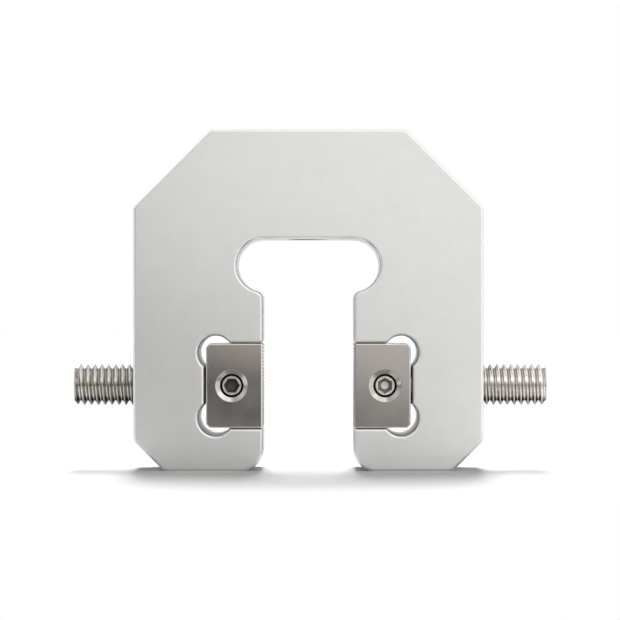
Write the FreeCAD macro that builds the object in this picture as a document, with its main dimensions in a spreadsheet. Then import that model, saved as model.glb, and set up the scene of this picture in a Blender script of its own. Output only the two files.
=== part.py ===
"""Tensile test grip: a C-shaped plate with two screw-driven, cross-cut jaws.

Frame of the part: +Z up, X across the grip, and the front faces -Y. The origin lies in
the plane that the feet stand on, midway between the jaws and midway through the plate.
Lengths are in millimetres and angles in degrees.
"""

import FreeCAD, Part
import math
import os
import re

import Sketcher
from FreeCAD import Placement, Rotation, Vector

DOC = FreeCAD.newDocument("tensile_test_grip")

SIZES = {
    # Plate
    "plate_width": 50.0,
    "plate_height": 48.8,
    "plate_thickness": 15.0,
    "shoulder_cut": 11.0,  # leg of the cut at each top corner
    "shoulder_round": 1.0,  # radius of the corners that those cuts leave
    "foot_cut": 4.4,  # leg of the cut at each outer foot corner
    "foot_round": 1.5,  # radius of the corners that those cuts leave
    "toe_round": 3.0,  # radius of the inner corner of each foot
    "plate_edge_break": 0.28,  # chamfer round the front and back faces
    # T-shaped slot between the legs
    "slot_width": 13.0,
    "bridge_height": 15.6,  # plate left above the slot
    "lobe_radius": 3.8,  # rounded ends of the slot's wide top
    "lobe_offset": 6.45,  # centre of each rounded end from the middle
    "throat_round": 1.2,  # radius where the slot narrows
    # Windows that guide the jaws
    "grip_height": 12.2,  # spindle axis above the feet
    "window_height": 12.2,
    "window_mouth_round": 0.35,  # radius where a window opens into the slot
    "relief_radius": 2.5,  # cutter relief in each outer corner
    "relief_inset_across": 1.6,  # centre of a relief from the end wall
    "relief_inset_up": 1.45,  # centre of a relief from the guide wall
    # Jaws
    "jaw_length": 8.15,  # tips of the knurl to the back face
    "jaw_guide_gap": 0.1,  # clearance above and below a jaw
    "jaw_back_gap": 0.25,  # clearance behind an open jaw
    "jaw_proud": 0.05,  # how far an open jaw stands out of the slot wall
    "jaw_corner_cut": 0.5,  # chamfer on the two back corners
    "jaw_edge_break": 0.15,  # chamfer round the front and back faces
    "knurl_pitch": 0.5,  # nearest whole number of grooves is cut
    "knurl_angle": 90.0,  # included angle of a groove
    "knurl_stock": 0.04,  # face allowance that the grooves take off
    # Spindles
    "spindle_radius": 3.0,  # over the thread
    "spindle_chamfer": 0.6,  # both ends of the threaded length
    "spindle_reach": 9.05,  # outer end beyond the plate, with the neck centred
    "spindle_bore_gap": 0.05,  # radial clearance in the plate
    "spindle_bore_sink": 0.4,  # chamfer at the mouth of each bore
    "journal_radius": 2.25,  # turned inner end
    "journal_gap": 0.06,  # radial clearance in the jaw
    "shoulder_gap": 0.4,  # jaw back to the threaded length, with the neck centred
    "thrust_gap": 0.05,  # tip to the bottom of the jaw's bore
    "neck_radius": 1.5,
    "neck_play": 0.3,  # each side of the screw's point in the neck
    "neck_shift": 0.25,  # how far each spindle sits to the right in that play
    "collar_length": 0.85,  # from the neck to the inner tip
    "drive_across_flats": 3.0,  # hexagon socket in the outer end
    "drive_depth": 3.5,
    # Set screws in the jaws
    "screw_length": 5.0,
    "screw_radius": 1.6,
    "screw_gap": 0.02,  # radial clearance in the tapped hole
    "screw_chamfer": 0.2,  # driven end
    "screw_setback": 4.5,  # screw axis behind the knurl tips
    "screw_sink_radius": 2.3,  # countersink of the tapped hole
    "point_radius": 1.25,
    "point_length": 1.0,
    "point_gap": 0.1,  # point to the bottom of the spindle's neck
    "socket_across_flats": 2.0,
    "socket_depth": 2.0,
    # Hexagon sockets
    "pilot_gap": 0.05,  # drilled wall inside the flats
    # Mounting thread through the bridge
    "mount_radius": 3.0,  # over the thread
    "mount_sink_radius": 3.3,
}

# Places that follow from the sizes. Each is a formula of the spreadsheet's cells.
HALF_WIDTH = "(plate_width / 2)"
HALF_DEPTH = "(plate_thickness / 2)"
HALF_SLOT = "(slot_width / 2)"
HALF_WINDOW = "(window_height / 2)"
LOBE_HEIGHT = "(plate_height - bridge_height - lobe_radius)"
JAW_FACE = f"({HALF_SLOT} - jaw_proud)"
JAW_BACK = f"({JAW_FACE} + jaw_length)"
HALF_JAW = f"({HALF_WINDOW} - jaw_guide_gap)"
WINDOW_END = f"({JAW_BACK} + jaw_back_gap)"
SCREW_AXIS = f"({JAW_FACE} + screw_setback)"
HALF_NECK = "(point_radius + neck_play)"
SPINDLE_END = f"({HALF_WIDTH} + spindle_reach)"
SPINDLE_TIP = f"({SCREW_AXIS} - {HALF_NECK} - collar_length)"
JOURNAL_BORE_END = f"({SPINDLE_TIP} - neck_shift - thrust_gap)"
POINT_END = "(neck_radius + point_gap)"

SINK_ANGLE = 90
DRILL_ANGLE = 118
SAME_PLACE = 1e-3


def add_sheet():
    """Spreadsheet with one named cell for each size."""
    sheet = DOC.addObject("Spreadsheet::Sheet", "sizes")
    for row, (name, value) in enumerate(SIZES.items(), start=1):
        sheet.set(f"A{row}", name)
        sheet.set(f"B{row}", str(value))
        sheet.setAlias(f"B{row}", name)
    DOC.recompute()
    return sheet


SHEET = add_sheet()


def cell(word):
    """A word of a formula, as a cell of the spreadsheet where it names a size."""
    return f"{SHEET.Name}.{word[0]}" if word[0] in SIZES else word[0]


def bound(formula):
    """The formula with each size written as a cell of the spreadsheet."""
    return re.sub(r"[a-z_]+", cell, formula)


def value_of(formula):
    """The number that a formula gives."""
    return float(SHEET.evalExpression(bound(formula)))


def add_body(name):
    body = DOC.addObject("PartDesign::Body", name)
    body.Label = name
    return body


def origin_item(body, role):
    """One of a body's own origin planes or axes."""
    return next(item for item in body.Origin.OriginFeatures if item.Role == role)


def add_sketch(body, name, plane, offset="0"):
    """Sketch on an origin plane, or at an offset along that plane's normal."""
    sketch = body.newObject("Sketcher::SketchObject", name)
    sketch.AttachmentSupport = [(origin_item(body, plane), "")]
    sketch.MapMode = "FlatFace"
    sketch.setExpression("AttachmentOffset.Base.z", bound(offset))
    return sketch


def tie_point(sketch, geometry, end, place):
    """Hold a point of the sketch at a pair of formulas."""
    for kind, axis, formula in (("DistanceX", -2, place[0]), ("DistanceY", -1, place[1])):
        if formula == "0":
            sketch.addConstraint(Sketcher.Constraint("PointOnObject", geometry, end, axis))
            continue
        distance = Sketcher.Constraint(kind, -1, 1, geometry, end, value_of(formula))
        index = sketch.addConstraint(distance)
        sketch.setExpression(f"Constraints[{index}]", bound(formula))


def tie_radius(sketch, geometry, formula):
    index = sketch.addConstraint(Sketcher.Constraint("Radius", geometry, value_of(formula)))
    sketch.setExpression(f"Constraints[{index}]", bound(formula))


def point_at(place):
    return Vector(value_of(place[0]), value_of(place[1]), 0)


def draw_polygon(sketch, places):
    """Closed outline through corners, each a pair of formulas."""
    points = [point_at(place) for place in places]
    ends = points[1:] + points[:1]
    sides = [sketch.addGeometry(Part.LineSegment(start, end)) for start, end in zip(points, ends)]
    for side, after in zip(sides, sides[1:] + sides[:1]):
        sketch.addConstraint(Sketcher.Constraint("Coincident", side, 2, after, 1))
    for side, place in zip(sides, places):
        tie_point(sketch, side, 1, place)


def draw_rectangle(sketch, low, high):
    draw_polygon(sketch, [low, (high[0], low[1]), high, (low[0], high[1])])


def draw_circle(sketch, centre, radius):
    circle = sketch.addGeometry(Part.Circle(point_at(centre), Vector(0, 0, 1), value_of(radius)))
    tie_point(sketch, circle, 3, centre)
    tie_radius(sketch, circle, radius)


def draw_obround(sketch, offset, height, radius):
    """Two half circles, left and right of the middle, joined by level lines."""
    arcs = []
    lines = []
    for sign, first in ((1, -math.pi / 2), (-1, math.pi / 2)):
        middle = Vector(sign * value_of(offset), value_of(height), 0)
        circle = Part.Circle(middle, Vector(0, 0, 1), value_of(radius))
        arcs.append(sketch.addGeometry(Part.ArcOfCircle(circle, first, first + math.pi)))
    for sign in (1, -1):
        reach = sign * value_of(offset)
        level = value_of(height) + sign * value_of(radius)
        ends = Vector(reach, level, 0), Vector(-reach, level, 0)
        lines.append(sketch.addGeometry(Part.LineSegment(*ends)))
    for arc, line, after in ((arcs[0], lines[0], arcs[1]), (arcs[1], lines[1], arcs[0])):
        sketch.addConstraint(Sketcher.Constraint("Tangent", arc, 2, line, 1))
        sketch.addConstraint(Sketcher.Constraint("Tangent", line, 2, after, 1))
    tie_point(sketch, arcs[0], 3, (offset, height))
    tie_point(sketch, arcs[1], 3, ("-" + offset, height))
    tie_radius(sketch, arcs[0], radius)


def draw_hexagon(sketch, across_flats):
    """Hexagon about the sketch's origin, with two corners on its first axis."""
    half = f"({across_flats} / 2)"
    corner = f"({across_flats} / sqrt(3))"
    shared = f"({corner} / 2)"
    draw_polygon(sketch, [
        (corner, "0"),
        (shared, half),
        ("-" + shared, half),
        ("-" + corner, "0"),
        ("-" + shared, "-" + half),
        (shared, "-" + half),
    ])


def add_feature(body, kind, sketch, formulas=(), **settings):
    """Sketch-based feature with its plain settings and its sizes as formulas."""
    DOC.recompute()
    before = body.Shape.Volume if body.Tip else 0.0
    feature = body.newObject("PartDesign::" + kind, sketch.Name + "_" + kind.lower())
    feature.Profile = sketch
    for name, value in settings.items():
        setattr(feature, name, value)
    for name, formula in dict(formulas).items():
        feature.setExpression(name, bound(formula))
    DOC.recompute()
    change = body.Shape.Volume - before
    adds = kind in ("Pad", "Revolution")
    if change == 0 or (change > 0) != adds:
        raise RuntimeError(f"{feature.Name} changes the volume by {change}")
    return feature


def add_row(body, original, length, spaces):
    """Copies of a cut along its sketch's second axis, spread over a length."""
    row = body.newObject("PartDesign::LinearPattern", original.Name + "_row")
    row.Originals = [original]
    row.Direction = (original.Profile[0], ["V_Axis"])
    row.Mode = "Extent"
    row.setExpression("Length", bound(length))
    row.setExpression("Occurrences", bound(f"{spaces} + 1"))
    body.Tip = row
    DOC.recompute()


def drill(body, name, plane, offset, centre, radius, depth=None, sink=None, **settings):
    """Round hole that starts on a plane, blind where a depth is given."""
    sketch = add_sketch(body, name, plane, offset)
    draw_circle(sketch, centre, radius)
    formulas = {"Diameter": f"2 * {radius}"}
    settings.setdefault("DrillPoint", "Flat")
    settings["DepthType"] = "ThroughAll"
    if depth:
        settings["DepthType"] = "Dimension"
        formulas["Depth"] = depth
    if sink:
        settings.update(HoleCutType="Countersink", HoleCutCustomValues=True)
        settings["HoleCutCountersinkAngle"] = SINK_ANGLE
        formulas["HoleCutDiameter"] = f"2 * {sink}"
    return add_feature(body, "Hole", sketch, formulas, **settings)


def cut_socket(body, name, plane, offset, across_flats, depth, **settings):
    """Hexagon socket, broached over a drilled pilot with a pointed bottom."""
    pilot = f"({across_flats} / 2 - pilot_gap)"
    pointed = {"DrillPoint": "Angled", "DrillPointAngle": DRILL_ANGLE}
    drill(body, name + "_pilot", plane, offset, ("0", "0"), pilot, depth, **pointed, **settings)
    hexagon = add_sketch(body, name + "_hexagon", plane, offset)
    draw_hexagon(hexagon, across_flats)
    add_feature(body, "Pocket", hexagon, {"Length": depth}, **settings)


def add_dressing(body, kind, name, test, **formulas):
    """Fillet or chamfer on every edge of the body that passes a test."""
    base = body.Tip
    edges = [f"Edge{index}" for index, edge in enumerate(base.Shape.Edges, start=1) if test(edge)]
    if not edges:
        raise RuntimeError(f"{name} finds no edge")
    feature = body.newObject("PartDesign::" + kind, name)
    feature.Base = (base, edges)
    for size_name, formula in formulas.items():
        feature.setExpression(size_name, bound(formula))
    DOC.recompute()


def depth_edges(*places):
    """Test for edges that run front to back at an X, left or right, and in a span of Z."""
    wanted = [[value_of(formula) for formula in place] for place in places]

    def passes(edge):
        box = edge.BoundBox
        if box.XLength > SAME_PLACE or box.ZLength > SAME_PLACE:
            return False
        return any(
            abs(abs(box.XMin) - across) < SAME_PLACE
            and low - SAME_PLACE < box.ZMin < high + SAME_PLACE
            for across, low, high in wanted
        )

    return passes


def face_edges(edge):
    """Whether an edge lies in the front or the back face of the plate or a jaw."""
    box = edge.BoundBox
    return box.YLength < SAME_PLACE and abs(abs(box.YMin) - value_of(HALF_DEPTH)) < SAME_PLACE


def add_copy(name, body):
    """A second piece of the same make, in a node of its own."""
    copy = add_body(name)
    base = copy.newObject("PartDesign::FeatureBase", name + "_base")
    base.BaseFeature = body
    copy.Tip = base
    DOC.recompute()
    return copy


def place(body, across="0", deep="0", up="0", rotation=None):
    """Put a body where formulas say."""
    if rotation:
        body.Placement = Placement(Vector(), rotation)
    for letter, formula in (("x", across), ("y", deep), ("z", up)):
        if formula != "0":
            body.setExpression(f"Placement.Base.{letter}", bound(formula))
    DOC.recompute()


def make_plate():
    """C-shaped plate with the slot, windows, bores and mounting thread."""
    body = add_body("frame")

    outline = add_sketch(body, "plate_outline", "XZ_Plane")
    right_side = [
        (f"({HALF_WIDTH} - foot_cut)", "0"),
        (HALF_WIDTH, "foot_cut"),
        (HALF_WIDTH, "plate_height - shoulder_cut"),
        (f"({HALF_WIDTH} - shoulder_cut)", "plate_height"),
    ]
    left_side = [("-" + across, up) for across, up in reversed(right_side)]
    draw_polygon(outline, right_side + left_side)
    add_feature(body, "Pad", outline, {"Length": "plate_thickness"}, SideType="Symmetric")

    neck = add_sketch(body, "slot_neck", "XZ_Plane")
    draw_rectangle(neck, ("-" + HALF_SLOT, "-" + HALF_SLOT), (HALF_SLOT, LOBE_HEIGHT))
    lobes = add_sketch(body, "slot_lobes", "XZ_Plane")
    draw_obround(lobes, "lobe_offset", LOBE_HEIGHT, "lobe_radius")
    windows = add_sketch(body, "jaw_windows", "XZ_Plane")
    low = ("-" + WINDOW_END, f"grip_height - {HALF_WINDOW}")
    high = (WINDOW_END, f"grip_height + {HALF_WINDOW}")
    draw_rectangle(windows, low, high)
    reliefs = add_sketch(body, "window_reliefs", "XZ_Plane")
    across = f"({WINDOW_END} - relief_inset_across)"
    rise = f"({HALF_WINDOW} - relief_inset_up)"
    for side in ("", "-"):
        for direction in "+-":
            centre = (side + across, f"grip_height {direction} {rise}")
            draw_circle(reliefs, centre, "relief_radius")
    for sketch in (neck, lobes, windows, reliefs):
        add_feature(body, "Pocket", sketch, Type="ThroughAll", SideType="Symmetric")

    shoulders = depth_edges(
        (HALF_WIDTH, "plate_height - shoulder_cut", "plate_height - shoulder_cut"),
        (f"{HALF_WIDTH} - shoulder_cut", "plate_height", "plate_height"),
    )
    feet = depth_edges((HALF_WIDTH, "foot_cut", "foot_cut"), (f"{HALF_WIDTH} - foot_cut", "0", "0"))
    toes = depth_edges((HALF_SLOT, "0", "0"))
    throats = depth_edges((HALF_SLOT, f"grip_height + {HALF_WINDOW} + throat_round", LOBE_HEIGHT))
    guides = [f"grip_height {sign} {HALF_WINDOW}" for sign in "-+"]
    mouths = depth_edges(*[(HALF_SLOT, guide, guide) for guide in guides])
    add_dressing(body, "Fillet", "shoulder_fillets", shoulders, Radius="shoulder_round")
    add_dressing(body, "Fillet", "foot_fillets", feet, Radius="foot_round")
    add_dressing(body, "Fillet", "toe_fillets", toes, Radius="toe_round")
    add_dressing(body, "Fillet", "throat_fillets", throats, Radius="throat_round")
    add_dressing(body, "Fillet", "window_mouth_fillets", mouths, Radius="window_mouth_round")
    add_dressing(body, "Chamfer", "plate_edge_chamfers", face_edges, Size="plate_edge_break")

    bores = add_sketch(body, "spindle_bores", "YZ_Plane")
    draw_circle(bores, ("0", "grip_height"), "(spindle_radius + spindle_bore_gap)")
    add_feature(body, "Pocket", bores, Type="ThroughAll", SideType="Symmetric")
    add_dressing(body, "Chamfer", "bore_mouths", bore_mouths, Size="spindle_bore_sink")
    drill(body, "mounting_hole", "XY_Plane", "plate_height", ("0", "0"), "mount_radius",
          sink="mount_sink_radius")
    return body


def bore_mouths(edge):
    """Whether an edge is the mouth of a spindle bore in the plate's side."""
    box = edge.BoundBox
    if not isinstance(edge.Curve, Part.Circle) or box.XLength > SAME_PLACE:
        return False
    return abs(abs(box.XMin) - value_of(HALF_WIDTH)) < SAME_PLACE


def cut_grooves(body, name, plane, start, length):
    """Row of V grooves across the gripping face, whose ridges meet at the tips' plane."""
    spaces = f"round({length} / knurl_pitch)"
    slope = "tan(knurl_angle / 2)"
    depth = f"({length} / {spaces} / 2 / {slope})"
    half = f"(({depth} + 2 * knurl_stock) * {slope})"
    mouth = f"-({JAW_FACE} - 2 * knurl_stock)"
    groove = add_sketch(body, name, plane)
    draw_polygon(groove, [
        (f"-({JAW_FACE} + {depth})", start),
        (mouth, f"{start} - {half}"),
        (mouth, f"{start} + {half}"),
    ])
    cut = add_feature(body, "Pocket", groove, Type="ThroughAll", SideType="Symmetric")
    add_row(body, cut, length, spaces)


def make_jaw():
    """Left jaw: block with a cross-cut face, a blind bore and a tapped hole."""
    body = add_body("left_jaw")
    block = add_sketch(body, "jaw_block", "XZ_Plane")
    low = ("-" + JAW_BACK, f"grip_height - {HALF_JAW}")
    high = (f"-({JAW_FACE} - knurl_stock)", f"grip_height + {HALF_JAW}")
    draw_rectangle(block, low, high)
    add_feature(body, "Pad", block, {"Length": "plate_thickness"}, SideType="Symmetric")

    corners = depth_edges((JAW_BACK, low[1], high[1]))
    add_dressing(body, "Chamfer", "jaw_corners", corners, Size="jaw_corner_cut")
    add_dressing(body, "Chamfer", "jaw_edges", jaw_edges, Size="jaw_edge_break")

    axis = ("-" + SCREW_AXIS, "grip_height")
    drill(body, "screw_hole", "XZ_Plane", HALF_DEPTH, axis, "(screw_radius + screw_gap)",
          HALF_DEPTH, "screw_sink_radius")
    drill(body, "journal_bore", "YZ_Plane", "-" + JAW_BACK, ("0", "grip_height"),
          "(journal_radius + journal_gap)", f"{JAW_BACK} - {JOURNAL_BORE_END}", Reversed=True)
    cut_grooves(body, "level_groove", "XZ_Plane", f"(grip_height - {HALF_JAW})", f"(2 * {HALF_JAW})")
    cut_grooves(body, "upright_groove", "XY_Plane", "-" + HALF_DEPTH, "plate_thickness")
    return body


def jaw_edges(edge):
    """Whether an edge rings the jaw's front or back face, away from the gripping face."""
    grip = -value_of(JAW_FACE)
    return face_edges(edge) and edge.BoundBox.Center.x < grip


def make_spindle():
    """Spindle along X, its outer end to the left and its neck about the origin."""
    body = add_body("left_spindle")
    tip = f"({SCREW_AXIS} - {SPINDLE_TIP})"
    shoulder = f"-({JAW_BACK} + shoulder_gap - {SCREW_AXIS})"
    end = f"-({SPINDLE_END} - {SCREW_AXIS})"
    chamfered = "(spindle_radius - spindle_chamfer)"
    profile = add_sketch(body, "spindle_profile", "XZ_Plane")
    draw_polygon(profile, [
        (tip, "0"),
        (tip, "journal_radius"),
        (HALF_NECK, "journal_radius"),
        (HALF_NECK, "neck_radius"),
        ("-" + HALF_NECK, "neck_radius"),
        ("-" + HALF_NECK, "journal_radius"),
        (shoulder, "journal_radius"),
        (shoulder, chamfered),
        (f"{shoulder} - spindle_chamfer", "spindle_radius"),
        (f"{end} + spindle_chamfer", "spindle_radius"),
        (end, chamfered),
        (end, "0"),
    ])
    add_feature(body, "Revolution", profile, ReferenceAxis=(profile, ["H_Axis"]))
    cut_socket(body, "drive", "YZ_Plane", end, "drive_across_flats", "drive_depth", Reversed=True)
    return body


def make_screw():
    """Set screw along Y, driven from the front, the end of its point at the origin."""
    body = add_body("left_jaw_screw")
    profile = add_sketch(body, "screw_profile", "XY_Plane")
    draw_polygon(profile, [
        ("0", "-screw_length"),
        ("screw_radius - screw_chamfer", "-screw_length"),
        ("screw_radius", "screw_chamfer - screw_length"),
        ("screw_radius", "-point_length"),
        ("point_radius", "-point_length"),
        ("point_radius", "0"),
        ("0", "0"),
    ])
    add_feature(body, "Revolution", profile, ReferenceAxis=(profile, ["V_Axis"]))
    cut_socket(body, "socket", "XZ_Plane", "screw_length", "socket_across_flats", "socket_depth")
    return body


def check_document():
    """Stop on any object that failed."""
    for item in DOC.Objects:
        if {"Invalid", "Error"} & set(item.State):
            raise RuntimeError(f"{item.Name} is {item.State}")


def write_parts(bodies):
    """One file for each piece, named after it."""
    for body in bodies:
        shape = body.Shape
        if shape.isNull() or not shape.isValid() or len(shape.Solids) != 1:
            raise RuntimeError(f"{body.Label} is not one valid solid")
    os.makedirs("parts", exist_ok=True)
    for body in bodies:
        body.Shape.exportStep(f"parts/{body.Label}.step")
        print(f"{body.Label}: {body.Shape.Volume:.1f} mm3, {len(body.Shape.Faces)} faces")


def main():
    frame = make_plate()

    left_jaw = make_jaw()
    right_jaw = add_copy("right_jaw", left_jaw)
    place(right_jaw, up="2 * grip_height", rotation=Rotation(Vector(0, 1, 0), 180))

    left_spindle = make_spindle()
    right_spindle = add_copy("right_spindle", left_spindle)
    place(left_spindle, across=f"neck_shift - {SCREW_AXIS}", up="grip_height")
    place(right_spindle, across=f"neck_shift + {SCREW_AXIS}", up="grip_height",
          rotation=Rotation(Vector(0, 0, 1), 180))

    left_screw = make_screw()
    right_screw = add_copy("right_jaw_screw", left_screw)
    place(left_screw, across="-" + SCREW_AXIS, deep="-" + POINT_END, up="grip_height")
    place(right_screw, across=SCREW_AXIS, deep="-" + POINT_END, up="grip_height",
          rotation=Rotation(Vector(0, 1, 0), 90))

    DOC.recompute()
    check_document()
    write_parts([frame, left_jaw, right_jaw, left_spindle, right_spindle, left_screw, right_screw])


main()
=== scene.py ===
"""Looks of the tensile test grip: rolled threads, finishes, floor, light and camera.

Everything is in the part's own frame: +Z up, X across the grip, and the front to -Y.
Lengths are in millimetres and become metres only where they enter a mesh or an object.
"""

import math

import bmesh
import bpy
from mathutils import Matrix, Vector


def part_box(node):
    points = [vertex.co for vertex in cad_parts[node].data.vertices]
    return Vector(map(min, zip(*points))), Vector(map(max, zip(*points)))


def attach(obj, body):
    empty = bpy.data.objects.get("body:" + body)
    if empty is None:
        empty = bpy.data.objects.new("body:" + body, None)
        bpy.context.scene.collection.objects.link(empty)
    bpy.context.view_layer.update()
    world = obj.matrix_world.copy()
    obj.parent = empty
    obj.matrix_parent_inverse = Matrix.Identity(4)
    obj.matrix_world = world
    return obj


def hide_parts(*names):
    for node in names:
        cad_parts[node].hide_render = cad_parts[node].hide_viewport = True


MM = 0.001

# Camera: the plate's outline as photographed, from a distance between the one that the
# spindles' ends ask for and the longer one that the depth of the walls asks for
CAMERA_PLACE = (1.28, -490.0, 23.15)
CAMERA_AIM = (0.23, -7.5, 23.0)
VIEW_WIDTH = 88.4  # what the frame takes in at the plate's front face
SENSOR_WIDTH = 36.0
CLIP_START = 10

# Studio: a white backdrop to +Y, dim walls, and a bright screen at the upper right
BRIGHT_SIDE = (0.75, 0.0, 0.66)
WALL_SPAN = (-0.5, 0.3)  # along the bright side
WALL_LEVELS = (0.33, 0.5)
SCREEN_SPAN = (0.25, 0.65)  # soft edge of the screen
SCREEN_LEVEL = 0.65
CAMERA_SIDE = (0.0, -1.0, 0.0)
CAMERA_SHADE_SPAN = (0.9, 0.99)  # the camera stands in the middle of its own shade
CAMERA_SHADE = 0.3
LEFT_SIDE = (-0.8, 0.0, 0.6)
LEFT_SPAN = (0.6, 0.95)
LEFT_LEVEL = 0.8
BACKDROP_SIDE = (0.0, 1.0, 0.0)
BACKDROP_SPAN = (0.35, 0.95)
AMBIENT = 0.17  # what the studio throws on the floor

# Card lamp beside the camera, turned so that one side runs past the jaws' reflection
CARD_PLACE = (63, -150, 96)
CARD_ROLL = 18
CARD_SIZE = 200
CARD_POWER = 0.105

# Lamps above and behind that light the floor only: elevation and strength
FLOOR_LAMPS = ((76, 0.4), (66, 0.6), (56, 0.8), (46, 1.05), (36, 1.15))
FLOOR_LAMP_WIDTH = 12
FLOOR_REACH = (2000, -85, 3000)  # to each side, to the front and to the back
FLOOR_COLOUR = (0.9, 0.9, 0.9)
FLOOR_ROUGHNESS = 0.9
FLOOR_LIFT = 0.02  # what only the eye sees, so that the lit floor is white

# Share of its normal along Y by which a surface is a face, a chamfer or a wall
FACE_SLOPE = 0.95
WALL_SLOPE = 0.3

# Noise: how much fine structure it has, and samples of the worn edges
SOFT_DETAIL = 2.0
FINE_DETAIL = 3.0
WEAR_SAMPLES = 8

# Plate: sizes of its grain and clouds, colours, roughness, bumps and worn edges
PLATE_GRAIN = 0.16
PLATE_CLOUD = 2.6
PLATE_SHADES = (-0.5, 0.5)  # what the grain adds to the clouds
PLATE_FACES = ((0.72, 0.716, 0.708), (0.78, 0.776, 0.767))
# Chamfers are painted lighter as a highlight, and walls along Y darker as shade
PLATE_CHAMFER_HIGHLIGHT = (0.8, 0.796, 0.788)
PLATE_WALL_SHADE = (0.52, 0.516, 0.508)
PLATE_ROUGHNESS = (0.29, 0.37)
PLATE_BUMP = 0.004
PLATE_WEAR = 0.25

# Jaws: the same
JAW_GRAIN = 0.12
JAW_CLOUD = 3.2
JAW_FACES = ((0.44, 0.407, 0.382), (0.48, 0.444, 0.416))
# Chamfers and the knurl's slopes are painted lighter as a highlight
JAW_CHAMFER_HIGHLIGHT = (0.76, 0.728, 0.7)
JAW_ROUGHNESS = (0.15, 0.18)
JAW_BUMP = 0.0006
JAW_WEAR = 0.12

# Cross-cut faces, by distance from the middle: where the painted shade of their grooves sets
# in, and the roots
KNURL_SHADE_SPAN = (6.5, 6.62)
KNURL_ROOT = 6.703
KNURL_SHADE = (0.07, 0.065, 0.06)

# Front and back edges of the cross-cut faces, painted lighter as a highlight, with normals
# turned towards the slot
GRIP_EDGE_REACH = 6.74  # from the middle along X
GRIP_EDGE_FRONT = 7.34  # from the middle along Y, where they begin
GRIP_EDGE_TILT = 0.36  # towards the slot
GRIP_EDGE_HIGHLIGHT = (0.5, 0.479, 0.46)

# Countersinks of the jaws' tapped holes
SINK_RADIUS = 2.35
SINK_STEEL = (0.5, 0.466, 0.44)
SINK_SHADE_RADIUS = 1.69  # to which the painted shade of the gap round the screw reaches
SINK_SHADE = (0.02, 0.019, 0.018)
SINK_TILT = 0.6  # how far their reflections turn to the front

# Turned surfaces: points round the axis, and the angle past which an edge stays crisp
STEPS = 96
CRISP_ANGLE = math.radians(38)
WELD = 0.0002
DRILL_SLOPE = math.tan(math.radians(31))  # depth of a drilled point over its radius
PILOT_SHARE = 0.95  # of half a hexagon's width, for the drilled bottom of its socket

# Threads: offset from the middle of a crest or a root, and radius
THREAD_PITCH = 1.0
ROLLED_PROFILE = (
    (-0.06, 2.93),
    (-0.03, 2.95),
    (0.03, 2.95),
    (0.06, 2.93),
    (0.375, 2.385),
    (0.43, 2.33),
    (0.47, 2.32),
    (0.53, 2.32),
    (0.57, 2.33),
    (0.625, 2.385),
)
TAPPED_PROFILE = (
    (-0.06, 2.98),
    (0.06, 2.98),
    (0.345, 2.5),
    (0.655, 2.5),
)
TAPPED_WALL = 2.99
TAPPED_SINK = 0.3  # countersink above the tapped length
SLOT_CEILING = 33.2
TAPPED_GRAIN = 0.2
# Painted shade: the thread inside the mounting hole is coloured dark
TAPPED_SHADED_COLOURS = ((0.2, 0.196, 0.19), (0.3, 0.294, 0.285))
TAPPED_ROUGHNESS = (0.35, 0.5)
TAPPED_BUMP = 0.004

# Spindles, along the axis from the outer end
THREAD_LENGTH = 19.05
THREAD_CHAMFER = 0.6
JOURNAL_RADIUS = 2.25
NECK_RADIUS = 1.5
NECK_SPAN = (21.3, 24.4)
DRIVE_ACROSS_FLATS = 3.0
DRIVE_DEPTH = 3.5
LEFT_CREST = 0.9  # where a crest comes to the top, in pitches from the outer end
RIGHT_CREST = 1.02

# Steel of the spindles
SPINDLE_LEVELS = (0.82, 1.02)  # brightness of the left one, painted darker as shade, and of the right one, painted lighter as light
SPINDLE_COLOURS = (  # dull, bright, pitted and painted shade, painted underside shade on crests, and painted underside shade in grooves
    (0.83, 0.803, 0.777),
    (0.98, 0.951, 0.926),
    (0.48, 0.452, 0.43),
    (0.38, 0.368, 0.356),
    (0.026, 0.025, 0.024),
)
SPINDLE_TINT = (0.6, 0.6, 0.6)
SPINDLE_ROUGHNESS = (0.14, 0.26)
SPINDLE_BUMP = 0.004
STREAK_SIZE = 0.1
STREAK_STRETCH = (1, 6, 6)
SPOT_SIZE = 0.3
PIT_SIZE = 0.15
PIT_SPAN = (0.58, 0.66)  # noise between which the pits set in
PIT_GRIME = 0.6

# Painted shade on the spindles, by radius and by height from the axis
ROOT_SPAN = (2.34, 2.48)  # radii between which the flanks' painted shade sets in
CREST_SPAN = (2.7, 2.88)  # radii between which it ends
GROOVE_SPAN = (2.42, 2.66)  # the same for the upper side, where it fills the roots
UPPER_SPAN = (-0.2, 0.6)  # heights between which the upper side begins
UNDERSIDE_SHADE_SPAN = (-1.55, -2.2)  # heights between which painted shade covers the underside
WAIST_SPAN = (0.1, 0.75)  # distances in height over which the painted dark reflection in the middle fades
WAIST_SHADE = 0.75

# Axes: height of the spindles and the set screws, and distance of a screw from the middle
SPINDLE_HEIGHT = 12.2
SCREW_OFFSET = 10.95

# Set screws, along the axis from the driven end
SCREW_BEVEL = (0.25, 0.5)  # width and depth
SCREW_BODY = 4.0
POINT_RADIUS = 1.25
SOCKET_ACROSS_FLATS = 2.0
SOCKET_DEPTH = 2.0
LEFT_SCREW_TURN = 0
RIGHT_SCREW_TURN = math.pi / 2

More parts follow.
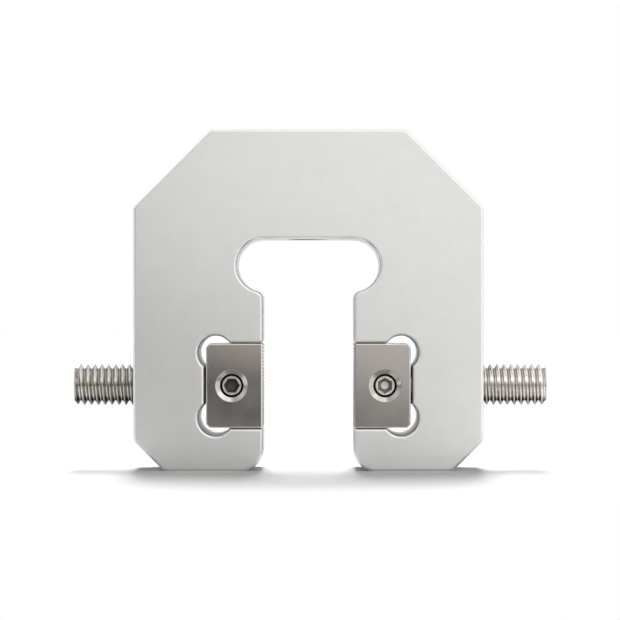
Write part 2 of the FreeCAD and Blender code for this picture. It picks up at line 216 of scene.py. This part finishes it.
# Steel of the set screws, the left painted darker as shade and the right lighter as light: end,
# inside of the socket as painted shade, and middle of its bottom as a painted highlight
LEFT_SCREW_COLOURS = ((0.72, 0.69, 0.66), (0.06, 0.05, 0.043), (0.1, 0.088, 0.078))
RIGHT_SCREW_COLOURS = ((0.86, 0.83, 0.8), (0.17, 0.15, 0.14), (0.8, 0.76, 0.73))
SCREW_DULLNESS = 0.4  # share of its brightness that a sawn end has in its dull spots
SCREW_GRAIN = 0.14
SCREW_ROUGHNESS = (0.28, 0.45)
SCREW_SHADE_SPAN = (-6.58, -6.4)  # Y where the painted shade of the socket and bevel sets in
PILOT_RADIUS = 0.55  # middle of a socket's bottom, painted lighter as a highlight
DENT_SIZE = 0.3
DENT_DEPTH = 0.05


def ring(along, radius):
    """Points round the first axis, whose radius may be a function of the angle."""
    points = []
    for step in range(STEPS):
        angle = 2 * math.pi * step / STEPS
        reach = radius(angle) if callable(radius) else radius
        points.append((along, reach * math.cos(angle), reach * math.sin(angle)))
    return points


def hexagon(across_flats):
    """Radius of a hexagon with two corners on the second axis."""
    return lambda angle: across_flats / 2 / math.cos(angle % (math.pi / 3) - math.pi / 6)


def socket(across_flats, depth):
    """Rows of a hexagon socket, from the point left by its drill to its mouth."""
    pilot = PILOT_SHARE * across_flats / 2
    return [
        ring(depth + pilot * DRILL_SLOPE, 0),
        ring(depth, pilot),
        ring(depth, hexagon(across_flats)),
        ring(0, hexagon(across_flats)),
    ]


def radius_at(profile, along):
    """Radius of a thread's profile at a distance along it."""
    first, radius = profile[0]
    along = first + (along - first) % THREAD_PITCH
    for low, high in zip(profile, profile[1:] + ((first + THREAD_PITCH, radius),)):
        if along <= high[0]:
            return low[1] + (high[1] - low[1]) * (along - low[0]) / (high[0] - low[0])
    return radius


def thread(profile, start, length, limit):
    """Rows along a right-hand thread that is cut off square at both ends."""
    rows = []
    for turn in range(-2, math.ceil(length / THREAD_PITCH) + 2):
        for offset, _ in profile:
            row = []
            for step in range(STEPS):
                angle = 2 * math.pi * step / STEPS
                lead = start + THREAD_PITCH * step / STEPS
                along = min(max(lead + turn * THREAD_PITCH + offset, 0), length)
                radius = min(radius_at(profile, along - lead), limit(along))
                row.append((along, radius * math.cos(angle), radius * math.sin(angle)))
            rows.append(row)
    return rows


def add_rows(mesh, rows, lead=0):
    """Faces between rows. A row closes on the one that lies a lead further on."""
    columns = [[mesh.verts.new(row[step]) for row in rows] for step in range(STEPS)]
    columns.append(columns[0][lead:])
    for column, after in zip(columns, columns[1:]):
        for low in range(len(after) - 1):
            mesh.faces.new((column[low], after[low], after[low + 1], column[low + 1]))


def make_piece(name, strips, place, material):
    """Object made of strips of rows, welded where they meet and set in its place."""
    mesh = bmesh.new()
    for rows, lead in strips:
        add_rows(mesh, rows, lead)
    bmesh.ops.remove_doubles(mesh, verts=mesh.verts, dist=WELD)
    bmesh.ops.recalc_face_normals(mesh, faces=mesh.faces)
    mesh.transform(Matrix.Scale(MM, 4) @ place)
    data = bpy.data.meshes.new(name)
    mesh.to_mesh(data)
    mesh.free()
    data.shade_smooth()
    data.set_sharp_from_angle(angle=CRISP_ANGLE)
    data.materials.append(material)
    piece = bpy.data.objects.new(name, data)
    bpy.context.scene.collection.objects.link(piece)
    return piece


def make_spindle(name, node, crest, turned, material):
    """Threaded pin with its hexagon socket outside, and its journal and neck inside."""
    low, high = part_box(node)
    radius = (high.z - low.z) / 2 / MM
    length = (high.x - low.x) / MM
    outer = (high.x if turned else low.x) / MM
    end_radius = radius - THREAD_CHAMFER
    # A row starts on the second axis, a quarter of a turn before the top
    start = crest * THREAD_PITCH - THREAD_PITCH / 4
    rows = thread(
        ROLLED_PROFILE, start, THREAD_LENGTH,
        lambda along: end_radius + min(along, THREAD_LENGTH - along),
    )
    tail = [
        rows[-1],
        ring(THREAD_LENGTH, JOURNAL_RADIUS),
        ring(NECK_SPAN[0], JOURNAL_RADIUS),
        ring(NECK_SPAN[0], NECK_RADIUS),
        ring(NECK_SPAN[1], NECK_RADIUS),
        ring(NECK_SPAN[1], JOURNAL_RADIUS),
        ring(length, JOURNAL_RADIUS),
        ring(length, 0),
    ]
    strips = [
        (socket(DRIVE_ACROSS_FLATS, DRIVE_DEPTH) + [rows[0]], 0),
        (rows, len(ROLLED_PROFILE)),
        (tail, 0),
    ]
    height = (low.z + high.z) / 2 / MM
    place = Matrix.Translation((outer, 0, height))
    if turned:
        place @= Matrix.Rotation(math.pi, 4, "Z")
    piece = make_piece(name, strips, place, material)
    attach(piece, node)
    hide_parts(node)


def make_tapped_thread(name, material):
    """Thread of the mounting hole, from the slot's ceiling up to its countersink."""
    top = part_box("frame")[1].z / MM - TAPPED_SINK
    length = top - SLOT_CEILING
    rows = thread(TAPPED_PROFILE, 0, length, lambda along: TAPPED_WALL)
    strips = [
        (rows, len(TAPPED_PROFILE)),
        ([rows[0], ring(0, TAPPED_WALL), ring(length, TAPPED_WALL), rows[-1]], 0),
    ]
    place = Matrix.Translation((0, 0, SLOT_CEILING)) @ Matrix.Rotation(-math.pi / 2, 4, "Y")
    piece = make_piece(name, strips, place, material)
    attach(piece, "frame")


def make_screw(name, node, body, turn, material):
    """Set screw with a steep bevel round its driven end."""
    low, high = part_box(node)
    radius = (high.x - low.x) / 2 / MM
    length = (high.y - low.y) / MM
    width, depth = SCREW_BEVEL
    rows = socket(SOCKET_ACROSS_FLATS, SOCKET_DEPTH) + [
        ring(0, radius - width),
        ring(depth, radius),
        ring(SCREW_BODY, radius),
        ring(SCREW_BODY, POINT_RADIUS),
        ring(length, POINT_RADIUS),
        ring(length, 0),
    ]
    middle = (low + high) / 2 / MM
    place = Matrix.Translation((middle.x, low.y / MM, middle.z))
    place @= Matrix.Rotation(math.pi / 2, 4, "Z") @ Matrix.Rotation(turn, 4, "X")
    piece = make_piece(name, [(rows, 0)], place, material)
    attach(piece, body)
    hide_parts(node)


def add_node(tree, kind, inputs=(), **settings):
    """Node with its settings, and with its inputs set to values or joined to sockets."""
    node = tree.nodes.new("ShaderNode" + kind)
    for name, value in settings.items():
        setattr(node, name, value)
    for key, value in dict(inputs).items():
        if isinstance(value, bpy.types.NodeSocket):
            tree.links.new(value, node.inputs[key])
        else:
            node.inputs[key].default_value = value
    return node


def compute(tree, operation, *values):
    """Result of a math node."""
    return add_node(tree, "Math", enumerate(values), operation=operation).outputs[0]


def start_metal(name):
    """Material with a metal shader, its tree, and its surface points in millimetres."""
    material = bpy.data.materials.new(name)
    material.use_nodes = True
    tree = material.node_tree
    shader = tree.nodes["Principled BSDF"]
    shader.inputs["Metallic"].default_value = 1.0
    place = add_node(tree, "TexCoord").outputs["Object"]
    scaled = add_node(tree, "VectorMath", {0: place, 1: (1 / MM,) * 3}, operation="MULTIPLY")
    return material, tree, shader, scaled.outputs[0]


def noise(tree, points, size, detail=SOFT_DETAIL, stretch=(1, 1, 1)):
    """Noise with features of a size in millimetres, longer along the stretched axes."""
    scaled = add_node(
        tree, "VectorMath", {0: points, 1: stretch}, operation="DIVIDE"
    ).outputs[0]
    inputs = {"Vector": scaled, "Scale": 1 / size, "Detail": detail}
    return add_node(tree, "TexNoise", inputs).outputs["Fac"]


def spread(tree, value, low, high, start=0.3, end=0.7):
    """The value's range from start to end, spread from low to high."""
    inputs = {"Value": value, "From Min": start, "From Max": end, "To Min": low, "To Max": high}
    return add_node(tree, "MapRange", inputs).outputs["Result"]


def blend(tree, factor, first, second):
    """Colour between two others."""
    node = add_node(tree, "Mix", {0: factor}, data_type="RGBA")
    for target, colour in ((node.inputs[6], first), (node.inputs[7], second)):
        if isinstance(colour, bpy.types.NodeSocket):
            tree.links.new(colour, target)
        else:
            target.default_value = (*colour, 1)
    return node.outputs[2]


def bump(tree, height, depth, edge_radius=0):
    """Normal of a surface that the height moves by a depth, with edges softly rounded by wear.
    """
    inputs = {"Height": height, "Distance": depth * MM}
    if edge_radius:
        wear_and_highlight = add_node(tree, "Bevel", {"Radius": edge_radius * MM}, samples=WEAR_SAMPLES)
        inputs["Normal"] = wear_and_highlight.outputs["Normal"]
    return add_node(tree, "Bump", inputs).outputs["Normal"]


def round_screws(tree, points, radius):
    """1 within a radius of either screw's axis, else 0."""
    parts = add_node(tree, "SeparateXYZ", {0: points}).outputs
    across = compute(tree, "ABSOLUTE", parts["X"])
    flat = add_node(tree, "CombineXYZ", {0: across, 2: parts["Z"]}).outputs[0]
    axis = (SCREW_OFFSET, 0, SPINDLE_HEIGHT)
    away = add_node(tree, "VectorMath", {0: flat, 1: axis}, operation="DISTANCE")
    return compute(tree, "LESS_THAN", away.outputs["Value"], radius)


def slopes(tree):
    """1 on faces square to Y, else 0, and 1 on walls along Y, else 0."""
    normal = add_node(tree, "TexCoord").outputs["Normal"]
    facing = add_node(tree, "SeparateXYZ", {0: normal}).outputs["Y"]
    facing = compute(tree, "ABSOLUTE", facing)
    on_face = compute(tree, "GREATER_THAN", facing, FACE_SLOPE)
    return on_face, compute(tree, "LESS_THAN", facing, WALL_SLOPE)


def grip_edges(tree, points):
    """1 on the front and back edges of the cross-cut faces, where a highlight is painted, else
    0, and the way they face.
    """
    parts = add_node(tree, "SeparateXYZ", {0: points}).outputs
    across = compute(tree, "ABSOLUTE", parts["X"])
    near = compute(tree, "LESS_THAN", across, GRIP_EDGE_REACH)
    depth = compute(tree, "ABSOLUTE", parts["Y"])
    outer = compute(tree, "GREATER_THAN", depth, GRIP_EDGE_FRONT)
    wear_and_highlight = compute(tree, "MULTIPLY", near, outer)
    side = compute(tree, "SIGN", parts["X"])
    tilt = compute(tree, "MULTIPLY", side, -GRIP_EDGE_TILT)
    front = compute(tree, "SIGN", parts["Y"])
    return wear_and_highlight, add_node(tree, "CombineXYZ", {0: tilt, 1: front}).outputs[0]


def plate_metal():
    """Fine blasted, clear anodised aluminium, with a painted highlight on its chamfers and
    painted shade on its walls.
    """
    material, tree, shader, points = start_metal("blasted_aluminium")
    grain = noise(tree, points, PLATE_GRAIN)
    cloud = noise(tree, points, PLATE_CLOUD, FINE_DETAIL)
    shade = spread(tree, grain, *PLATE_SHADES)
    blasted = blend(tree, compute(tree, "ADD", shade, cloud), *PLATE_FACES)
    on_face, on_wall = slopes(tree)
    # Painted highlight on the chamfers and painted shade on the walls along Y
    colour = blend(tree, on_face, PLATE_CHAMFER_HIGHLIGHT, blasted)
    colour = blend(tree, on_wall, colour, PLATE_WALL_SHADE)
    tree.links.new(colour, shader.inputs["Base Color"])
    tree.links.new(spread(tree, grain, *PLATE_ROUGHNESS), shader.inputs["Roughness"])
    tree.links.new(bump(tree, grain, PLATE_BUMP, PLATE_WEAR), shader.inputs["Normal"])
    return material


def jaw_metal():
    """Ground and hardened tool steel, with painted highlights on its chamfers and grip edges,
    and painted shade in its knurl and round its screws.
    """
    material, tree, shader, points = start_metal("ground_steel")
    grain = noise(tree, points, JAW_GRAIN)
    cloud = noise(tree, points, JAW_CLOUD)
    ground = blend(tree, cloud, *JAW_FACES)
    on_face, on_wall = slopes(tree)
    plain = compute(tree, "ADD", on_face, on_wall)
    # Painted highlight: chamfers and the knurl's slopes lighter than the ground faces
    steel = blend(tree, plain, JAW_CHAMFER_HIGHLIGHT, ground)

    sink = round_screws(tree, points, SINK_RADIUS)
    on_cone = compute(tree, "LESS_THAN", plain, 1)
    sunk = compute(tree, "MULTIPLY", sink, on_cone)
    steel = blend(tree, sunk, steel, SINK_STEEL)
    # Painted shade, nearly black, in the gap round each screw
    inner = round_screws(tree, points, SINK_SHADE_RADIUS)
    gap_shade = compute(tree, "MULTIPLY", inner, sunk)
    steel = blend(tree, gap_shade, steel, SINK_SHADE)

    across = add_node(tree, "SeparateXYZ", {0: points}).outputs["X"]
    across = compute(tree, "ABSOLUTE", across)
    # Painted shade in the grooves of the cross-cut faces
    deep = spread(tree, across, 0, 1, *KNURL_SHADE_SPAN)
    in_knurl = compute(tree, "LESS_THAN", across, KNURL_ROOT)
    groove_shade = compute(tree, "MULTIPLY", deep, in_knurl)
    colour = blend(tree, groove_shade, steel, KNURL_SHADE)
    # Painted highlight along the front and back rows of the cross-cut faces
    wear_and_highlight, highlight_normal = grip_edges(tree, points)
    colour = blend(tree, wear_and_highlight, colour, GRIP_EDGE_HIGHLIGHT)
    tree.links.new(colour, shader.inputs["Base Color"])
    tree.links.new(spread(tree, cloud, *JAW_ROUGHNESS), shader.inputs["Roughness"])

    tilt = compute(tree, "MULTIPLY", sunk, -SINK_TILT)
    forward = add_node(tree, "CombineXYZ", {1: tilt}).outputs[0]
    normal = bump(tree, grain, JAW_BUMP, JAW_WEAR)
    normal = add_node(tree, "VectorMath", {0: normal, 1: forward}, operation="ADD").outputs[0]
    inputs = {0: wear_and_highlight, 4: normal, 5: highlight_normal}
    normal = add_node(tree, "Mix", inputs, data_type="VECTOR").outputs[1]
    normal = add_node(tree, "VectorMath", {0: normal}, operation="NORMALIZE").outputs[0]
    tree.links.new(normal, shader.inputs["Normal"])
    return material


def spindle_metal(name, level):
    """Stainless steel, dull where its thread was rolled, whose level of brightness is painted
    light and shade, with painted shade on its flanks, in its roots, round its middle and on its
    underside.
    """
    material, tree, shader, points = start_metal(name)
    streaks = noise(tree, points, STREAK_SIZE, FINE_DETAIL, STREAK_STRETCH)
    spots = noise(tree, points, SPOT_SIZE, FINE_DETAIL)
    # Painted light and shade: the level makes one spindle's copy darker than the other's
    dull, bright, pit_and_shade, underside_crest, underside_groove = (
        tuple(level * part for part in colour) for colour in SPINDLE_COLOURS
    )
    metal = blend(tree, spread(tree, spots, 0, 1), dull, bright)
    pits = noise(tree, points, PIT_SIZE, FINE_DETAIL)
    pits = spread(tree, pits, 0, PIT_GRIME, *PIT_SPAN)
    metal = blend(tree, pits, metal, pit_and_shade)
    shader.inputs["Specular Tint"].default_value = (*SPINDLE_TINT, 1)

    inputs = {0: points, 1: (0, 0, -SPINDLE_HEIGHT)}
    off_axis = add_node(tree, "VectorMath", inputs, operation="ADD").outputs[0]
    split = add_node(tree, "SeparateXYZ", {0: off_axis}).outputs
    flat = add_node(tree, "CombineXYZ", {1: split["Y"], 2: split["Z"]}).outputs[0]
    radius = add_node(tree, "VectorMath", {0: flat}, operation="LENGTH").outputs["Value"]
    above_root = spread(tree, radius, 0, 1, *ROOT_SPAN)
    below_crest = spread(tree, radius, 1, 0, *CREST_SPAN)
    flank = compute(tree, "MULTIPLY", above_root, below_crest)
    root = spread(tree, radius, 1, 0, *GROOVE_SPAN)
    upper = spread(tree, split["Z"], 0, 1, *UPPER_SPAN)
    # Painted shade: the flanks are dark below the upper side, and only the roots above it
    groove_shade = add_node(tree, "Mix", {0: upper, 2: flank, 3: root}).outputs[0]
    colour = blend(tree, groove_shade, metal, pit_and_shade)
    height = compute(tree, "ABSOLUTE", split["Z"])
    # Painted dark reflection in a band round the axis's height
    waist = spread(tree, height, WAIST_SHADE, 0, *WAIST_SPAN)
    colour = blend(tree, waist, colour, pit_and_shade)
    # Painted shade on the underside, blackest towards the roots
    crest = spread(tree, radius, 0, 1, *CREST_SPAN)
    underside_shade = blend(tree, crest, underside_groove, underside_crest)
    below = spread(tree, split["Z"], 0, 1, *UNDERSIDE_SHADE_SPAN)
    colour = blend(tree, below, colour, underside_shade)
    tree.links.new(colour, shader.inputs["Base Color"])
    tree.links.new(spread(tree, streaks, *SPINDLE_ROUGHNESS), shader.inputs["Roughness"])
    tree.links.new(bump(tree, streaks, SPINDLE_BUMP), shader.inputs["Normal"])
    return material


def screw_metal(name, bright, inside, pilot):
    """Plain steel with a rough sawn end, with painted shade inside its socket and a painted
    highlight in the middle of the socket's bottom.
    """
    material, tree, shader, points = start_metal(name)
    grain = noise(tree, points, SCREW_GRAIN, FINE_DETAIL)
    dull = tuple(SCREW_DULLNESS * part for part in bright)
    end = blend(tree, spread(tree, grain, 0, 1), dull, bright)
    depth = add_node(tree, "SeparateXYZ", {0: points}).outputs["Y"]
    deep = spread(tree, depth, 0, 1, *SCREW_SHADE_SPAN)
    middle = round_screws(tree, points, PILOT_RADIUS)
    # Painted shade inside the socket, with a painted highlight in the middle of its bottom
    colour = blend(tree, deep, end, blend(tree, middle, inside, pilot))
    tree.links.new(colour, shader.inputs["Base Color"])
    tree.links.new(spread(tree, grain, *SCREW_ROUGHNESS), shader.inputs["Roughness"])
    dents = noise(tree, points, DENT_SIZE, FINE_DETAIL)
    tree.links.new(bump(tree, dents, DENT_DEPTH), shader.inputs["Normal"])
    return material


def tapped_metal():
    """Aluminium of the tapped thread, dull, and painted dark as shade inside its hole."""
    material, tree, shader, points = start_metal("tapped_aluminium")
    grain = noise(tree, points, TAPPED_GRAIN, FINE_DETAIL)
    colour = blend(tree, grain, *TAPPED_SHADED_COLOURS)
    tree.links.new(colour, shader.inputs["Base Color"])
    tree.links.new(spread(tree, grain, *TAPPED_ROUGHNESS), shader.inputs["Roughness"])
    tree.links.new(bump(tree, grain, TAPPED_BUMP), shader.inputs["Normal"])
    return material


def finish_nodes(names, material):
    """Give CAD nodes a material."""
    for name in names:
        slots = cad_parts[name].material_slots
        for slot in slots:
            slot.material = material


def is_seen(tree):
    """1 for rays of the camera and for rays that metal or glass sends on, else 0."""
    path = add_node(tree, "LightPath").outputs
    sharp = compute(tree, "ADD", path["Is Glossy Ray"], path["Is Transmission Ray"])
    return compute(tree, "ADD", sharp, path["Is Camera Ray"])


def towards(tree, direction, side, span, levels):
    """Value that eases from one level to another as the direction nears a side."""
    inputs = {0: direction, 1: Vector(side).normalized()}
    nearness = add_node(tree, "VectorMath", inputs, operation="DOT_PRODUCT")
    inputs = {
        "Value": nearness.outputs["Value"],
        "From Min": span[0],
        "From Max": span[1],
        "To Min": levels[0],
        "To Max": levels[1],
    }
    eased = add_node(tree, "MapRange", inputs, interpolation_type="SMOOTHSTEP")
    return eased.outputs["Result"]


def light_studio():
    """World that is white behind the part and shaded in front, with a bright screen."""
    world = bpy.data.worlds.new("studio")
    world.use_nodes = True
    world.cycles.sampling_method = "NONE"
    bpy.context.scene.world = world
    tree = world.node_tree
    direction = add_node(tree, "TexCoord").outputs["Generated"]
    wall = towards(tree, direction, BRIGHT_SIDE, WALL_SPAN, WALL_LEVELS)
    shade = towards(tree, direction, CAMERA_SIDE, CAMERA_SHADE_SPAN, (1, CAMERA_SHADE))
    right = towards(tree, direction, BRIGHT_SIDE, SCREEN_SPAN, (0, SCREEN_LEVEL))
    left = towards(tree, direction, LEFT_SIDE, LEFT_SPAN, (0, LEFT_LEVEL))
    screens = compute(tree, "ADD", right, left)
    front = compute(tree, "MULTIPLY_ADD", wall, shade, screens)
    behind = towards(tree, direction, BACKDROP_SIDE, BACKDROP_SPAN, (0, 1))
    walls = add_node(tree, "CombineColor", {0: front, 1: front, 2: front}).outputs[0]
    studio = blend(tree, behind, walls, (1, 1, 1))
    background = tree.nodes["Background"]
    level = blend(tree, is_seen(tree), (AMBIENT,) * 3, studio)
    tree.links.new(level, background.inputs["Color"])

    card = add_lamp("card", "AREA", energy=CARD_POWER, size=CARD_SIZE * MM)
    card.location = Vector(CARD_PLACE) * MM
    card.rotation_euler = (math.pi / 2, math.radians(CARD_ROLL), 0)
    for elevation, strength in FLOOR_LAMPS:
        width = math.radians(FLOOR_LAMP_WIDTH)
        lamp = add_lamp(f"floor_lamp_{elevation}", "SUN", energy=strength, angle=width)
        lamp.rotation_euler = (math.radians(elevation - 90), 0, 0)
        lamp.visible_glossy = False


def add_lamp(name, kind, **settings):
    """Lamp that the camera doesn't see."""
    data = bpy.data.lights.new(name, kind)
    for setting, value in settings.items():
        setattr(data, setting, value)
    lamp = bpy.data.objects.new(name, data)
    lamp.visible_camera = False
    bpy.context.scene.collection.objects.link(lamp)
    return lamp


def lay_floor():
    """White floor that keeps the part's shadow."""
    side, front, back = (reach * MM for reach in FLOOR_REACH)
    corners = [(-side, front, 0), (side, front, 0), (side, back, 0), (-side, back, 0)]
    data = bpy.data.meshes.new("floor")
    data.from_pydata(corners, [], [(0, 1, 2, 3)])
    floor = bpy.data.objects.new("floor", data)
    bpy.context.scene.collection.objects.link(floor)

    material = bpy.data.materials.new("white_floor")
    material.use_nodes = True
    tree = material.node_tree
    shader = tree.nodes["Principled BSDF"]
    shader.inputs["Base Color"].default_value = (*FLOOR_COLOUR, 1)
    shader.inputs["Roughness"].default_value = FLOOR_ROUGHNESS
    shader.inputs["Specular IOR Level"].default_value = 0
    lift = compute(tree, "MULTIPLY", is_seen(tree), FLOOR_LIFT)
    tree.links.new(lift, shader.inputs["Emission Strength"])
    shader.inputs["Emission Color"].default_value = (1, 1, 1, 1)
    data.materials.append(material)


def place_camera():
    """Camera at the photograph's viewpoint."""
    place = Vector(CAMERA_PLACE)
    aim = Vector(CAMERA_AIM)
    data = bpy.data.cameras.new("camera")
    data.sensor_width = SENSOR_WIDTH
    data.lens = SENSOR_WIDTH * (aim - place).length / VIEW_WIDTH
    data.clip_start = CLIP_START * MM
    camera = bpy.data.objects.new("camera", data)
    camera.location = place * MM
    camera.rotation_euler = (aim - place).to_track_quat("-Z", "Y").to_euler()
    bpy.context.scene.collection.objects.link(camera)
    bpy.context.scene.camera = camera


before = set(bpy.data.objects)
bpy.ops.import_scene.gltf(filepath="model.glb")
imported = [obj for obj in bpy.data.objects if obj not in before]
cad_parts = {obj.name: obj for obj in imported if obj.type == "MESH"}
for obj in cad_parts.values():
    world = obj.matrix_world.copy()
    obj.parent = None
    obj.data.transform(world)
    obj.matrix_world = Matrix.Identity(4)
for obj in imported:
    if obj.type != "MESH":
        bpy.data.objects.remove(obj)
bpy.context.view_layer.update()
bpy.context.scene.view_settings.view_transform = "Standard"
place_camera()
light_studio()
lay_floor()

finish_nodes(["frame"], plate_metal())
make_tapped_thread("mounting_thread", tapped_metal())
finish_nodes(["left_jaw", "right_jaw"], jaw_metal())
# Lit and shaded copies of one stainless steel, as painted light and shade
shaded_stainless = spindle_metal("shaded_stainless", SPINDLE_LEVELS[0])
lit_stainless = spindle_metal("lit_stainless", SPINDLE_LEVELS[1])
make_spindle("left_threaded_spindle", "left_spindle", LEFT_CREST, False, shaded_stainless)
make_spindle("right_threaded_spindle", "right_spindle", RIGHT_CREST, True, lit_stainless)
# Lit and shaded copies of one steel, as painted light and shade
shaded_screw_metal = screw_metal("shaded_screw_steel", *LEFT_SCREW_COLOURS)
lit_screw_metal = screw_metal("lit_screw_steel", *RIGHT_SCREW_COLOURS)
make_screw("left_set_screw", "left_jaw_screw", "left_jaw", LEFT_SCREW_TURN, shaded_screw_metal)
make_screw("right_set_screw", "right_jaw_screw", "right_jaw", RIGHT_SCREW_TURN, lit_screw_metal)
